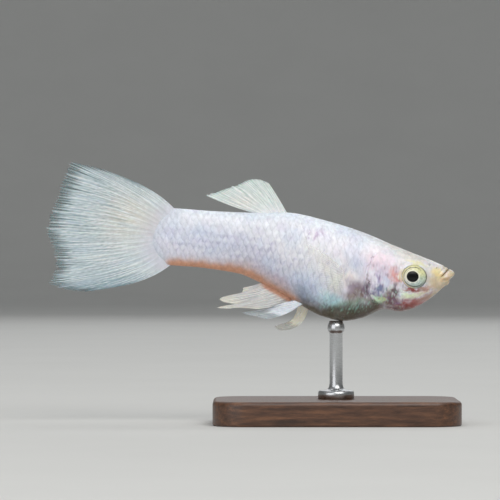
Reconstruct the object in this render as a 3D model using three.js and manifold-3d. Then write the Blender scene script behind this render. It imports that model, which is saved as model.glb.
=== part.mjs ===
// A life-size display model of a fancy guppy: a white female, swimming with her head slightly
// down, held over a flat base by one short rod.
// Millimetres, +Z up, head towards +X. The origin is in the middle of the base's underside.
//
// The fish is shaped in a frame of its own: x runs forward from the root of the tail fin along
// the line from there to the lips, y is to the fish's left and z is up. The fish group then
// pitches that frame head down and lifts it over the base.
import * as THREE from "three";
import { mergeVertices } from "three/addons/utils/BufferGeometryUtils.js";
import Module from "manifold-3d";

const wasm = await Module();
wasm.setup();

// Driving dimensions
const GAP = 0.3; // between pieces that touch
const PITCH_DOWN = THREE.MathUtils.degToRad(7.1);
const BASE = { length: 30, width: 19, height: 3, corner: 4, bevel: 0.5 };
const ROD = { x: 21.8, radius: 0.8, flangeRadius: 2.2, flangeHeight: 0.8, sides: 20 };
const TAIL_ROOT_HEIGHT = 22.6; // of the fish frame's origin over the floor

// The body's outline from the side, and how wide it is and where, from the tail root forward
const BACK = [
  [-2.2, 3.2], [0.3, 3.76], [5, 4.0], [10.5, 4.45], [15, 4.98], [19.8, 4.45], [23.8, 3.7],
  [28, 2.5], [31.2, 1.66], [33.5, 1.04], [34.5, 0.62],
];
const BELLY = [
  [-2.2, -3.4], [1.2, -3.27], [5, -3.1], [9, -3.23], [12.4, -4.15], [16.8, -5.9], [20, -7.15],
  [22.3, -7.42], [24.8, -6.8], [27.6, -5.36], [29.2, -5.42], [30.8, -4.9], [32.6, -3.6],
  [34.5, -1.6],
];
const HALF_WIDTH = [
  [-2.2, 0.42], [0, 0.8], [4, 1.2], [9, 1.72], [13, 2.4], [18, 3.15], [23, 3.45], [26.5, 3.3],
  [30, 2.85], [32.5, 2.12], [34.5, 1.28],
];
const WIDEST_AT = [
  [-2.2, -0.1], [8, 0.4], [14, -0.1], [20, -1.3], [24.5, -1.7], [28, -1.3], [31.5, -0.75],
  [34.5, -0.45],
];
const BACK_ROUNDNESS = [[-2.2, 2.0], [12, 2.1], [26, 2.25], [32, 2.6], [34.5, 2.3]];
const BELLY_ROUNDNESS = [[-2.2, 2.0], [12, 1.75], [17, 1.8], [23, 2.1], [34.5, 2.0]];
const TAIL_END = -2.2;
const SNOUT_END = 34.5;
const SNOUT_ROUNDING = 0.55; // how far the rounded front of the jaws bulges past the snout's end

// Where the body is parted
const GILL_EDGE = { x: 24.75, z: -1.7, above: 0.1, below: 0.2 }; // rear edge of the gill cover
const TAIL_CUT = { x: 9.4, z: 0.3, above: 0.045, below: 0.045 };
const HYPURAL_EDGE = { x: -1.93, z: -0.24, above: 0.14, below: 0.25 }; // rounded end of the flesh

// A smooth function of x through the points, which never overshoots them
function smoothThrough(points) {
  const count = points.length;
  const secants = points.slice(1).map(([x, v], i) => (v - points[i][1]) / (x - points[i][0]));
  const slopes = points.map((_, i) => {
    if (i === 0) return secants[0];
    if (i === count - 1) return secants[count - 2];
    const [before, after] = [secants[i - 1], secants[i]];
    return before * after <= 0 ? 0 : (2 * before * after) / (before + after);
  });
  return (x) => {
    const found = points.findIndex(([px]) => px > x);
    const i = found < 0 ? count - 2 : Math.max(found - 1, 0);
    const [[x0, v0], [x1, v1]] = [points[i], points[i + 1]];
    const span = x1 - x0;
    const t = THREE.MathUtils.clamp((x - x0) / span, 0, 1);
    const [t2, t3] = [t * t, t * t * t];
    return v0 * (2 * t3 - 3 * t2 + 1) + v1 * (3 * t2 - 2 * t3)
      + span * (slopes[i] * (t3 - 2 * t2 + t) + slopes[i + 1] * (t3 - t2));
  };
}

const back = smoothThrough(BACK);
const belly = smoothThrough(BELLY);
const halfWidth = smoothThrough(HALF_WIDTH);
const widestAt = smoothThrough(WIDEST_AT);
const backRoundness = smoothThrough(BACK_ROUNDNESS);
const bellyRoundness = smoothThrough(BELLY_ROUNDNESS);

// How far the flank stands out from the middle plane at a place seen from the side
function flank(x, z) {
  const middle = widestAt(x);
  const above = z > middle;
  const reach = above ? back(x) - middle : middle - belly(x);
  const power = above ? backRoundness(x) : bellyRoundness(x);
  const share = Math.min(Math.abs(z - middle) / reach, 1);
  return halfWidth(x) * (1 - share ** power) ** (1 / power);
}

// A point of the section at x, with the angle running from the left flank up over the back
function sectionPoint(x, angle, grow) {
  const [c, s] = [Math.cos(angle), Math.sin(angle)];
  const middle = widestAt(x);
  const power = 2 / (s >= 0 ? backRoundness(x) : bellyRoundness(x));
  const reach = grow + (s >= 0 ? back(x) - middle : middle - belly(x));
  const y = Math.sign(c) * (halfWidth(x) + grow) * Math.abs(c) ** power;
  return [x, y, middle + Math.sign(s) * reach * Math.abs(s) ** power];
}

// Triangles of a closed mesh, from its corners and the corner numbers of each face
function meshOf(corners, faces) {
  const geometry = new THREE.BufferGeometry();
  geometry.setAttribute("position", new THREE.Float32BufferAttribute(corners.flat(), 3));
  geometry.setIndex(faces.flat());
  return geometry;
}

function solidOf(geometry) {
  const bare = geometry.clone();
  bare.deleteAttribute("normal");
  bare.deleteAttribute("uv");
  const merged = mergeVertices(bare, 1e-4);
  return new wasm.Manifold(new wasm.Mesh({
    numProp: 3,
    vertProperties: new Float32Array(merged.attributes.position.array),
    triVerts: new Uint32Array(merged.index.array),
  }));
}

// Closes up edges that are too short to keep, one by one, where the skin stays whole
function closeShortEdges(corners, faces, shortest) {
  const place = corners.map(([x, y, z]) => new THREE.Vector3(x, y, z));
  for (let moved = 1; moved > 0;) {
    const neighbours = corners.map(() => new Set());
    for (const [a, b, c] of faces) {
      neighbours[a].add(b).add(c);
      neighbours[b].add(c).add(a);
      neighbours[c].add(a).add(b);
    }
    const busy = new Set();
    const target = corners.map((_, i) => i);
    moved = 0;
    for (const [p, q] of faces.flatMap(([a, b, c]) => [[a, b], [b, c], [c, a]])) {
      if (p > q || busy.has(p) || busy.has(q) || place[p].distanceTo(place[q]) > shortest) continue;
      if ([...neighbours[p]].filter((v) => neighbours[q].has(v)).length !== 2) continue;
      target[q] = p;
      moved += 1;
      for (const v of [...neighbours[p], ...neighbours[q]]) busy.add(v);
    }
    faces = faces.map((face) => face.map((v) => target[v]))
      .filter(([a, b, c]) => a !== b && b !== c && c !== a);
  }
  return faces;
}

// The largest closed piece of a solid, as a geometry without the slivers that cuts leave
const SLIVER = 0.02;
function geometryOf(solid) {
  const largest = solid.decompose().reduce((a, b) => (b.volume() > a.volume() ? b : a));
  const { vertProperties, triVerts, numProp } = largest.asOriginal().simplify(SLIVER).getMesh();
  const corners = [];
  for (let i = 0; i < vertProperties.length; i += numProp) {
    corners.push([vertProperties[i], vertProperties[i + 1], vertProperties[i + 2]]);
  }
  const faces = [];
  for (let i = 0; i < triVerts.length; i += 3) faces.push([...triVerts.subarray(i, i + 3)]);
  return meshOf(corners, closeShortEdges(corners, faces, SLIVER));
}

// Rings of corners joined into a closed skin, with a point closing each end
function loft(rings, firstTip, lastTip) {
  const around = rings[0].length;
  const corners = [...rings.flat(), firstTip, lastTip];
  const [first, last] = [corners.length - 2, corners.length - 1];
  const faces = [];
  for (let j = 0; j < around; j++) {
    const k = (j + 1) % around;
    faces.push([first, k, j]);
    for (let i = 0; i + 1 < rings.length; i++) {
      const [a, b] = [i * around, (i + 1) * around];
      faces.push([a + j, a + k, b + k], [a + j, b + k, b + j]);
    }
    const end = (rings.length - 1) * around;
    faces.push([last, end + j, end + k]);
  }
  return meshOf(corners, faces);
}

// The whole body grown outwards by some distance. Stations lie closer together in the head.
const BODY_STEPS = { trunk: 30, head: 20, around: 36, headFrom: 24.4 };
function bodyLoft(grow) {
  const { trunk, head, around, headFrom } = BODY_STEPS;
  const stations = [];
  for (let i = 0; i < trunk; i++) stations.push(THREE.MathUtils.lerp(TAIL_END, headFrom, i / trunk));
  for (let i = 0; i <= head; i++) stations.push(THREE.MathUtils.lerp(headFrom, SNOUT_END, i / head));
  const rings = stations.map((x) => Array.from({ length: around },
    (_, j) => sectionPoint(x, (2 * Math.PI * j) / around, grow)));
  const middle = widestAt(SNOUT_END);
  const bulge = SNOUT_ROUNDING + grow;
  for (const turn of [0.35, 0.7, 1.05, 1.35]) {
    const [shrink, ahead] = [Math.cos(turn), bulge * Math.sin(turn)];
    const last = rings[trunk + head];
    rings.push(last.map(([x, y, z]) => [x + ahead, y * shrink, middle + (z - middle) * shrink]));
  }
  return loft(rings, [TAIL_END - 0.1 - grow, 0, widestAt(TAIL_END)], [SNOUT_END + bulge, 0, middle]);
}

// A block as wide as the fish, whose rear or front face follows a bowed edge seen from the side
const FAR = 60;
const SIDE = 12;
function edgeX(edge, z) {
  const bow = z > edge.z ? edge.above : edge.below;
  return edge.x + bow * (z - edge.z) ** 2;
}
function blockPast(edge, shift, forward) {
  const shape = new THREE.Shape();
  const far = forward ? FAR : -FAR;
  shape.moveTo(far, -SIDE);
  for (let z = -SIDE; z <= SIDE; z += 0.5) shape.lineTo(edgeX(edge, z) + shift, z);
  shape.lineTo(far, SIDE);
  return sideways(shape, FAR);
}

// A shape drawn in x and z, made into a solid that reaches as far to the left as to the right
function sideways(shape, width) {
  const geometry = new THREE.ExtrudeGeometry(shape, { depth: width, bevelEnabled: false });
  geometry.translate(0, 0, -width / 2);
  geometry.rotateX(Math.PI / 2);
  return solidOf(geometry);
}

const body = solidOf(bodyLoft(0));
const bodyWithGap = solidOf(bodyLoft(GAP));
const bodyBump = solidOf(bodyLoft(0.12));

// Eyes: flattened balls that stand a little out of their sockets
const EYE = { x: 30.5, z: -0.93, radius: 1.5, depth: 0.9, inset: 0.42, turnOut: 0.12, rise: 0.05 };
function eyeBall(side, grow) {
  const ball = new THREE.SphereGeometry(1, 22, 14);
  ball.rotateX(Math.PI / 2);
  ball.scale(EYE.radius + grow, EYE.depth + grow, EYE.radius + grow);
  ball.rotateZ(-side * EYE.turnOut);
  ball.rotateX(side * EYE.rise);
  ball.translate(EYE.x, side * (flank(EYE.x, EYE.z) - EYE.inset), EYE.z);
  return ball;
}

// The upturned mouth: a slit across the snout, with a lip rolled along each side of it
const SLIT = { x: 34.78, z: 0.74, lean: 0.645, depth: 1.5, width: 0.26 };
const LOWER_LIP = { front: [34.96, -0.15], corner: [33.3, -1.05], spread: 1.55, radius: [0.46, 0.16] };
const UPPER_LIP = { front: [34.25, 0.6], corner: [33.0, -0.35], spread: 1.6, radius: [0.24, 0.12] };
function mouthSlit() {
  const slit = new THREE.BoxGeometry(SLIT.width, 6, 2 * SLIT.depth);
  slit.rotateY(SLIT.lean);
  slit.translate(SLIT.x, 0, SLIT.z);
  return solidOf(slit);
}

// A lip runs from one corner of the mouth round the front to the other, thinner at its ends
function lip({ front, corner, spread, radius }) {
  const [steps, around] = [16, 8];
  const rings = [];
  for (let i = 0; i <= steps; i++) {
    const turn = THREE.MathUtils.lerp(Math.PI / 2, -Math.PI / 2, i / steps);
    const share = Math.cos(turn);
    const r = THREE.MathUtils.lerp(radius[1], radius[0], share);
    const centre = [
      THREE.MathUtils.lerp(corner[0], front[0], share),
      spread * Math.sin(turn),
      THREE.MathUtils.lerp(corner[1], front[1], share),
    ];
    const out = [share, Math.sin(turn)];
    rings.push(Array.from({ length: around }, (_, j) => {
      const angle = (2 * Math.PI * j) / around;
      const [along, up] = [r * Math.cos(angle), r * Math.sin(angle)];
      return [centre[0] + along * out[0], centre[1] + along * out[1], centre[2] + up];
    }));
  }
  const middle = (ring) => [0, 1, 2].map((k) => ring.reduce((sum, p) => sum + p[k], 0) / around);
  return solidOf(loft(rings, middle(rings[0]), middle(rings[steps])));
}

// Nostrils: a pair on each side of the snout, as small pits
const NOSTRILS = [{ x: 33.1, z: 0.42, radius: 0.17 }, { x: 32.2, z: 0.72, radius: 0.2 }];
const PIT_DEPTH = 0.4;
function nostrilPit({ x, z, radius }, side) {
  const pit = new THREE.CylinderGeometry(radius, radius * 0.6, 2 * PIT_DEPTH, 8);
  pit.rotateX(side * THREE.MathUtils.degToRad(50));
  pit.translate(x, side * flank(x, z), z);
  return solidOf(pit);
}

// Gill covers: bony flaps, a little proud of the head, with their free edge at the rear
const GILL_COVER = { front: 28.35, top: 1.05, bottom: -4.75, thickness: 0.5, round: 1.5 };
function gillCoverOutline(grow) {
  const { front, top, bottom, round } = GILL_COVER;
  const shape = new THREE.Shape();
  const [low, high] = [bottom - grow, top + grow];
  const steps = 14;
  for (let i = 0; i <= steps; i++) {
    const z = THREE.MathUtils.lerp(low, high, i / steps);
    const x = edgeX(GILL_EDGE, z) + GAP / 2 - grow;
    if (i === 0) shape.moveTo(x, z);
    else shape.lineTo(x, z);
  }
  shape.lineTo(front + grow - round, high);
  shape.quadraticCurveTo(front + grow, high, front + grow, high - round);
  shape.lineTo(front + grow, low + 2 * round);
  shape.quadraticCurveTo(front + grow, low, front + grow - round, low);
  return shape;
}
function halfOf(solid, side) {
  const block = new THREE.BoxGeometry(2 * FAR, SIDE, 2 * FAR);
  block.translate(0, (side * SIDE) / 2 + side * 0.4, 0);
  return solid.intersect(solidOf(block));
}
const bodyUnderCover = solidOf(bodyLoft(0.12 - GILL_COVER.thickness));
const bodyUnderGap = solidOf(bodyLoft(0.12 - GILL_COVER.thickness - GAP));
const coverColumn = sideways(gillCoverOutline(0), FAR);
const coverRecess = sideways(gillCoverOutline(GAP), FAR);
function gillCover(side) {
  return halfOf(bodyBump.intersect(coverColumn).subtract(bodyUnderCover), side);
}

// Head
function headSolid() {
  let head = body.intersect(blockPast(GILL_EDGE, GAP / 2, true));
  head = head.subtract(mouthSlit()).add(lip(LOWER_LIP)).add(lip(UPPER_LIP));
  head = head.subtract(coverRecess.subtract(bodyUnderGap));
  for (const side of [-1, 1]) {
    head = head.subtract(solidOf(eyeBall(side, GAP)));
    for (const nostril of NOSTRILS) head = head.subtract(nostrilPit(nostril, side));
  }
  return head;
}

// Fins. A fin is a sheet of rays and membrane. Each ray leaves the root line, bends towards a
// point of the bend line and ends on the tip line. The lines are seen from the side, and the
// sway moves each place of the sheet to the left or right.
function through(points) {
  const curve = new THREE.SplineCurve(points.map(([x, z]) => new THREE.Vector2(x, z)));
  return (share) => curve.getPoint(THREE.MathUtils.clamp(share, 0, 1)).toArray();
}
const RAY_COLUMNS = [0, 0.3, 0.7]; // a ray's crest, and the foot of its slope on either side
function fin({ root, bend, tip, rays, rows, thickness, ridge, fray, sway }) {
  const columns = [];
  for (let i = 0; i < rays; i++) {
    for (const part of i < rays - 1 ? RAY_COLUMNS : [0]) {
      columns.push({ share: (i + part) / (rays - 1), crest: part === 0 });
    }
  }
  const faces = [];
  const corners = [];
  const wide = columns.length;
  for (const side of [-1, 1]) {
    for (const { share, crest } of columns) {
      const [from, by, to] = [root(share), bend(share), tip(share)];
      for (let row = 0; row <= rows; row++) {
        const t = (row / rows) * (1 + (crest ? fray : -fray));
        const [a, b, c] = [(1 - t) ** 2, 2 * t * (1 - t), t * t];
        const thick = THREE.MathUtils.lerp(thickness[0], thickness[1], Math.min(t, 1)) / 2;
        const raised = crest ? ridge * (1 - 0.6 * t) : 0;
        corners.push([
          a * from[0] + b * by[0] + c * to[0],
          sway(share, t) + side * (thick + raised),
          a * from[1] + b * by[1] + c * to[1],
        ]);
      }
    }
  }
  const at = (side, column, row) => (side * wide + column) * (rows + 1) + row;
  const quad = (a, b, c, d) => faces.push([a, b, c], [a, c, d]);
  for (let i = 0; i + 1 < wide; i++) {
    for (let row = 0; row < rows; row++) {
      const [a, b, c, d] = [at(0, i, row), at(0, i, row + 1), at(0, i + 1, row + 1), at(0, i + 1, row)];
      faces.push([a, b, c], [a, c, d]);
      const far = wide * (rows + 1);
      faces.push([a + far, c + far, b + far], [a + far, d + far, c + far]);
    }
    quad(at(0, i, 0), at(0, i + 1, 0), at(1, i + 1, 0), at(1, i, 0));
    quad(at(0, i, rows), at(1, i, rows), at(1, i + 1, rows), at(0, i + 1, rows));
  }
  for (let row = 0; row < rows; row++) {
    quad(at(0, 0, row), at(1, 0, row), at(1, 0, row + 1), at(0, 0, row + 1));
    const last = wide - 1;
    quad(at(0, last, row), at(0, last, row + 1), at(1, last, row + 1), at(1, last, row));
  }
  let solid = solidOf(meshOf(corners, faces));
  if (solid.volume() < 0) solid = solidOf(meshOf(corners, faces.map(([p, q, r]) => [p, r, q])));
  return solid;
}

const ROOT_SINK = 0.9; // how deep a fin's rays start inside the body, before it is cut clear

function dorsalFin() {
  const [front, rear] = [14.2, 10.6];
  return fin({
    root: (s) => {
      const x = THREE.MathUtils.lerp(front, rear, s);
      return [x + 0.5, back(x) - ROOT_SINK];
    },
    bend: through([[12.9, 6.5], [11.6, 6.9], [9.9, 6.1], [8.6, 4.75]]),
    tip: through([[11.35, 8.2], [10.3, 8.42], [9.2, 8.2], [7.6, 7.35], [6, 6.55], [4.4, 5.75]]),
    rays: 8, rows: 9, thickness: [0.62, 0.3], ridge: 0.11, fray: 0.012,
    sway: (s, t) => 0.35 * t * t * Math.sin(2.2 * s + 0.4),
  });
}

function analFin() {
  const [rear, front] = [12.5, 16.5];
  return fin({
    root: (s) => {
      const x = THREE.MathUtils.lerp(rear, front, s);
      return [x + 0.6, belly(x) + ROOT_SINK];
    },
    bend: through([[11.9, -4.3], [12.2, -5.3], [13, -6.3], [14.6, -6.75]]),
    tip: through([
      [9.95, -4.95], [10, -5.5], [9.5, -5.95], [7.6, -6.55], [8.7, -6.7], [7.3, -7.65], [9.8, -6.9],
      [12.2, -7.1],
    ]),
    rays: 8, rows: 8, thickness: [0.62, 0.3], ridge: 0.11, fray: 0.01,
    sway: (s, t) => 0.3 * t * t * Math.cos(3 * s),
  });
}

function tailFin() {
  return fin({
    root: (s) => {
      const z = THREE.MathUtils.lerp(3.9, -3.6, s);
      return [edgeX(HYPURAL_EDGE, z) + 0.35, z];
    },
    bend: through([[-3.6, 6.65], [-4.9, 4.2], [-6.2, -0.2], [-4.9, -4.7], [-3.3, -7.3]]),
    tip: through([
      [-12.75, 7.65], [-13.1, 6.1], [-13.55, 4.4], [-14, 2.9], [-14.3, 1.4], [-14.65, -0.2],
      [-14.4, -1.6], [-13.75, -2.6], [-13.3, -3.8], [-12.95, -5.1], [-13.1, -6.4], [-13.3, -7.4],
    ]),
    rays: 17, rows: 11, thickness: [0.9, 0.32], ridge: 0.13, fray: 0.015,
    sway: (s, t) => 0.9 * t * t * Math.sin(2.6 * (s - 0.5) * Math.PI * 0.5) * (0.4 + 0.6 * t),
  });
}

// The pelvic fins hang from the belly just before the anal fin. The right one is swept back and
// the left one hangs down.
const PELVIC = {
  right: {
    root: [[16.5, -5.6], [17.5, -5.9]], bend: [[14.6, -6.2], [15.8, -7.6]],
    tip: [[13.0, -6.75], [11.6, -7.2], [10.5, -7.95], [12.2, -8.35], [13.5, -8.2]],
  },
  left: {
    root: [[17.0, -6.0], [18.3, -6.2]], bend: [[16.6, -7.6], [17.6, -8.3]],
    tip: [[15.6, -8.1], [14.9, -8.55], [14.4, -9.1], [15.2, -9.45], [16.4, -8.95]],
  },
};
function pelvicFin(name, side) {
  const { root, bend, tip } = PELVIC[name];
  const y = side * 0.95;
  return fin({
    root: through(root), bend: through(bend), tip: through(tip),
    rays: 5, rows: 8, thickness: [0.56, 0.28], ridge: 0.09, fray: 0.02,
    sway: (s, t) => y + side * 0.9 * t * (1 - 0.25 * s),
  });
}

// The pectoral fins fan back from behind the gill covers, close along the flanks
const PECTORAL = {
  root: [[22.5, -1.7], [22.7, -2.5], [22.6, -3.3]],
  bend: [[20.0, 0.4], [19.6, -1.6], [20.4, -3.7]],
  tip: [[17.0, 1.5], [16.9, 0.3], [17.3, -1.2], [18.1, -2.9], [19.2, -4.2], [20.5, -4.9]],
};
function pectoralFin(side) {
  const start = flank(22.5, -2.5) + 0.12;
  const { root, bend, tip } = PECTORAL;
  return fin({
    root: through(root), bend: through(bend), tip: through(tip),
    rays: 10, rows: 7, thickness: [0.62, 0.28], ridge: 0.09, fray: 0.012,
    sway: (s, t) => side * (start - 0.25 + 1.3 * t + 0.25 * Math.sin(Math.PI * t)),
  });
}

// Materials
const paint = (colour, roughness, metalness = 0) =>
  new THREE.MeshStandardMaterial({ color: colour, roughness, metalness });
const skin = paint(0xe6e3ea, 0.38);
const finSkin = paint(0xd5e0de, 0.45);
const coverSkin = paint(0xdcc9cf, 0.3, 0.1);
const eyeGloss = paint(0xd9d6b8, 0.1);
const steel = paint(0xb8babc, 0.3, 1);
const walnut = paint(0x5b4030, 0.5);

function piece(name, solid, material) {
  const made = new THREE.Mesh(geometryOf(solid), material);
  made.name = name;
  return made;
}

// The fish
const fish = new THREE.Group();
fish.rotation.y = PITCH_DOWN;
fish.position.set(
  -(ROD.x * Math.cos(PITCH_DOWN) + belly(ROD.x) * Math.sin(PITCH_DOWN)), 0, TAIL_ROOT_HEIGHT,
);
fish.updateMatrix();

const torso = body.intersect(blockPast(GILL_EDGE, -GAP / 2, false))
  .intersect(blockPast(TAIL_CUT, GAP / 2, true));
const tailStalk = body.intersect(blockPast(TAIL_CUT, -GAP / 2, false))
  .intersect(blockPast(HYPURAL_EDGE, 0, true));
const stalkClearance = bodyWithGap.intersect(blockPast(HYPURAL_EDGE, -GAP, true));
fish.add(
  piece("head", headSolid(), skin),
  piece("torso", torso, skin),
  piece("tail_stalk", tailStalk, skin),
  piece("dorsal_fin", dorsalFin().subtract(bodyWithGap), finSkin),
  piece("anal_fin", analFin().subtract(bodyWithGap), finSkin),
  piece("tail_fin", tailFin().subtract(stalkClearance), finSkin),
);
for (const [name, side] of [["right", -1], ["left", 1]]) {
  fish.add(
    piece(`eye_${name}`, solidOf(eyeBall(side, 0)), eyeGloss),
    piece(`gill_cover_${name}`, gillCover(side), coverSkin),
    piece(`pelvic_fin_${name}`, pelvicFin(name, side).subtract(bodyWithGap), finSkin),
    piece(`pectoral_fin_${name}`, pectoralFin(side).subtract(bodyWithGap), finSkin),
  );
}

// The stand: a flat base with rounded corners, and a rod with a foot that meets the belly
function standBase() {
  const { length, width, height, corner, bevel } = BASE;
  const [x, y] = [length / 2 - bevel, width / 2 - bevel];
  const r = corner - bevel;
  const shape = new THREE.Shape();
  shape.absarc(x - r, y - r, r, 0, Math.PI / 2);
  shape.absarc(r - x, y - r, r, Math.PI / 2, Math.PI);
  shape.absarc(r - x, r - y, r, Math.PI, 1.5 * Math.PI);
  shape.absarc(x - r, r - y, r, 1.5 * Math.PI, 2 * Math.PI);
  const geometry = new THREE.ExtrudeGeometry(shape, {
    depth: height - 2 * bevel, bevelSize: bevel, bevelThickness: bevel, bevelSegments: 2,
    curveSegments: 6,
  });
  geometry.translate(0, 0, bevel);
  return solidOf(geometry);
}
function standRod() {
  const { radius, flangeRadius, flangeHeight, sides } = ROD;
  const foot = BASE.height + GAP;
  const profile = [
    [0, foot], [flangeRadius, foot], [flangeRadius, foot + flangeHeight * 0.7],
    [flangeRadius - 0.3, foot + flangeHeight], [radius, foot + flangeHeight], [radius, TAIL_ROOT_HEIGHT],
    [0, TAIL_ROOT_HEIGHT],
  ];
  const rod = new THREE.LatheGeometry(profile.map(([r, z]) => new THREE.Vector2(r, z)), sides);
  rod.rotateX(Math.PI / 2);
  const clear = bodyLoft(GAP);
  clear.applyMatrix4(fish.matrix);
  return solidOf(rod).subtract(solidOf(clear));
}

const model = new THREE.Group();
model.add(fish, piece("stand_base", standBase(), walnut), piece("stand_rod", standRod(), steel));
export default model;
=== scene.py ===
"""A life-size display model of a fancy guppy: a pearl white female on a small walnut and steel stand.

The fish is shaped in a frame of its own, in millimetres: x runs forward from the root of the
tail fin, y is to the fish's left and z is up. place() pitches that frame head down, lifts it
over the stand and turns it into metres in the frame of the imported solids.
"""
import math

import bpy
import numpy as np
from mathutils import Matrix, Vector


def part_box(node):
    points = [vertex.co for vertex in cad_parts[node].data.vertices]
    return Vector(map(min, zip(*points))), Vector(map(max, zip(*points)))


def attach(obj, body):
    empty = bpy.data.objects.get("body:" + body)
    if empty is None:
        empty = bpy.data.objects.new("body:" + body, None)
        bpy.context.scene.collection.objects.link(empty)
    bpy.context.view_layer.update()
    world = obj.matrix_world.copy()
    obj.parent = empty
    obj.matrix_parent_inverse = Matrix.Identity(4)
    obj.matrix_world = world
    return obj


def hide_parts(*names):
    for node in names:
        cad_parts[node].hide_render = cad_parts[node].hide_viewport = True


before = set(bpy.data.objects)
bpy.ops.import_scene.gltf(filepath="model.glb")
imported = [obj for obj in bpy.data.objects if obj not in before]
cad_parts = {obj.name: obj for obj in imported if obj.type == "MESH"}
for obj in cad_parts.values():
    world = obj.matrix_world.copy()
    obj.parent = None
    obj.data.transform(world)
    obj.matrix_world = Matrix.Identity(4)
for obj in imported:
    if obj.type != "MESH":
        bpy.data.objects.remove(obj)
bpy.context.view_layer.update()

MM = 0.001
FULL_TURN = 2 * math.pi
ROD_X = 21.8  # where the rod meets the belly, in the fish's frame
TAIL_ROOT_HEIGHT = 22.6
PITCH_DOWN = math.radians(7.1)

# The body seen from the side, and how wide it is and where, from the tail root forward
BACK = [
    (-2.2, 3.2), (0.3, 3.76), (5, 4.0), (10.5, 4.45), (15, 4.98), (19.8, 4.45), (23.8, 3.7),
    (28, 2.5), (31.2, 1.66), (33.5, 1.04), (34.5, 0.62),
]
BELLY = [
    (-2.2, -3.4), (1.2, -3.27), (5, -3.1), (9, -3.23), (12.4, -4.15), (16.8, -5.9), (20, -7.15),
    (22.3, -7.42), (24.8, -6.8), (27.6, -5.36), (29.2, -5.42), (30.8, -4.9), (32.6, -3.6),
    (34.5, -1.6),
]
HALF_WIDTH = [
    (-2.2, 0.42), (0, 0.8), (4, 1.2), (9, 1.72), (13, 2.4), (18, 3.15), (23, 3.45), (26.5, 3.3),
    (30, 2.85), (32.5, 2.12), (34.5, 1.28),
]
WIDEST_AT = [
    (-2.2, -0.1), (8, 0.4), (14, -0.1), (20, -1.3), (24.5, -1.7), (28, -1.3), (31.5, -0.75),
    (34.5, -0.45),
]
BACK_ROUNDNESS = [(-2.2, 2.0), (12, 2.1), (26, 2.25), (32, 2.6), (34.5, 2.3)]
BELLY_ROUNDNESS = [(-2.2, 2.0), (12, 1.75), (17, 1.8), (23, 2.1), (34.5, 2.0)]
TAIL_END = -2.2
SNOUT_END = 34.5
SNOUT_ROUNDING = 0.55

SKIN_DEPTH = 0.06  # how far the skin lies inside the solids, which the scales then cover
GILL_EDGE = {"x": 24.75, "z": -1.7, "above": 0.1, "below": 0.14}
HYPURAL_EDGE = {"x": -1.93, "z": -0.24, "above": 0.14, "below": 0.25}
WAVES = 14  # in each sum of smooth random values


def srgb(red, green, blue):
    """A colour named as 0 to 255 on a screen, in the linear values that shaders take."""
    share = np.array([red, green, blue]) / 255
    return np.where(share <= 0.04045, share / 12.92, ((share + 0.055) / 1.055) ** 2.4)


def smooth_through(points):
    """A smooth function of x through the points, which never overshoots them."""
    x = np.array([p[0] for p in points], float)
    v = np.array([p[1] for p in points], float)
    secant = np.diff(v) / np.diff(x)
    slope = np.concatenate([secant[:1], np.zeros(len(x) - 2), secant[-1:]])
    same = secant[:-1] * secant[1:] > 0
    both = secant[:-1] + secant[1:]
    slope[1:-1] = np.where(same, 2 * secant[:-1] * secant[1:] / np.where(same, both, 1), 0)

    def at(where):
        where = np.asarray(where, float)
        i = np.clip(np.searchsorted(x, where, side="right") - 1, 0, len(x) - 2)
        span = x[i + 1] - x[i]
        t = np.clip((where - x[i]) / span, 0, 1)
        return (v[i] * (2 * t**3 - 3 * t**2 + 1) + v[i + 1] * (3 * t**2 - 2 * t**3)
                + span * (slope[i] * (t**3 - 2 * t**2 + t) + slope[i + 1] * (t**3 - t**2)))

    return at


back = smooth_through(BACK)
belly = smooth_through(BELLY)
half_width = smooth_through(HALF_WIDTH)
widest_at = smooth_through(WIDEST_AT)
back_roundness = smooth_through(BACK_ROUNDNESS)
belly_roundness = smooth_through(BELLY_ROUNDNESS)


def ramp(value, start, end):
    """Rises smoothly from 0 at start to 1 at end."""
    t = np.clip((value - start) / (end - start), 0, 1)
    return t * t * (3 - 2 * t)


def bell(distance, width):
    """1 at no distance, falling off smoothly over the width."""
    return np.exp(-((distance / width) ** 2))


def span(value, start, full, fading, end):
    """Rises smoothly from start to full, stays at 1 and falls off again from fading to end."""
    return ramp(value, start, full) * (1 - ramp(value, fading, end))


def edge_x(edge, z):
    """Where a bowed edge of the body lies, seen from the side."""
    return edge["x"] + np.where(z > edge["z"], edge["above"], edge["below"]) * (z - edge["z"]) ** 2


def flank(x, z):
    """How far the flank stands out from the middle plane at a place seen from the side."""
    middle = widest_at(x)
    above = z > middle
    reach = np.where(above, back(x) - middle, middle - belly(x))
    power = np.where(above, back_roundness(x), belly_roundness(x))
    share = np.clip(np.abs(z - middle) / reach, 0, 1)
    return half_width(x) * (1 - share**power) ** (1 / power)


def section(x, angle):
    """Points of the skin's sections; the angle runs from the left flank up over the back."""
    c, s = np.cos(angle), np.sin(angle)
    middle = widest_at(x)
    power = 2 / np.where(s >= 0, back_roundness(x), belly_roundness(x))
    reach = np.where(s >= 0, back(x) - middle, middle - belly(x)) - SKIN_DEPTH
    y = np.sign(c) * (half_width(x) - SKIN_DEPTH) * np.abs(c) ** power
    return np.stack([x + 0 * y, y, middle + np.sign(s) * reach * np.abs(s) ** power], -1)


def place(points):
    """Points of the fish's frame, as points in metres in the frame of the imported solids."""
    x, y, z = np.moveaxis(np.asarray(points, float), -1, 0)
    c, s = math.cos(PITCH_DOWN), math.sin(PITCH_DOWN)
    belly_x = ROD_X * c + float(belly(ROD_X)) * s
    moved = [x * c + z * s - belly_x, y, z * c - x * s + TAIL_ROOT_HEIGHT]
    return np.stack(moved, -1) * MM


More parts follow.
